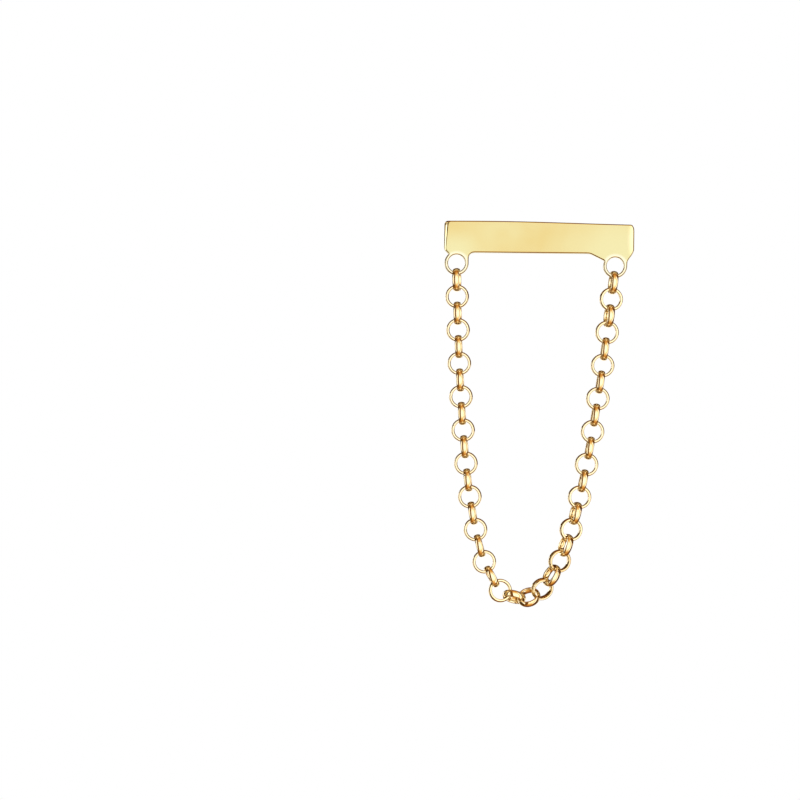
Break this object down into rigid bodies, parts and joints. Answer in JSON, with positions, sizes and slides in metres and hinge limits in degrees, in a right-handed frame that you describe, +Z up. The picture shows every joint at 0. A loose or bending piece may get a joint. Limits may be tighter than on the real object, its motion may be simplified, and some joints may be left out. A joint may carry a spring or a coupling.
{
  "type": "chain earring",
  "caption": "Flat bar stud earring with a fine chain of round links draped in a long curve between two loops under the bar's ends, on a straight ear post.",
  "frame": {"origin": "middle of the bar's back face, where the ear post stands and the earring pins on", "axes": "+X along the bar, to the right as seen from the front; -Y the front; +Y along the post, into the ear; +Z up"},
  "size_m": [0.0132, 0.0115, 0.0269],
  "materials": {
    "gold": "polished"
  },
  "bodies": {
    "root": {"bar_stud": "gold", "link_01": "gold", "link_02": "gold", "link_03": "gold", "link_04": "gold", "link_05": "gold", "link_06": "gold", "link_07": "gold", "link_08": "gold", "link_09": "gold", "link_10": "gold", "link_11": "gold", "link_12": "gold", "link_13": "gold", "link_14": "gold", "link_15": "gold", "link_16": "gold", "link_17": "gold", "link_18": "gold", "link_19": "gold", "link_20": "gold", "link_21": "gold", "link_22": "gold", "link_23": "gold", "link_24": "gold", "link_25": "gold", "link_26": "gold", "link_27": "gold", "link_28": "gold", "link_29": "gold", "link_30": "gold", "link_31": "gold", "link_32": "gold", "link_33": "gold", "link_34": "gold", "link_35": "gold", "link_36": "gold", "link_37": "gold", "link_38": "gold", "link_39": "gold", "link_40": "gold", "link_41": "gold", "link_42": "gold"}
  },
  "joints": []
}
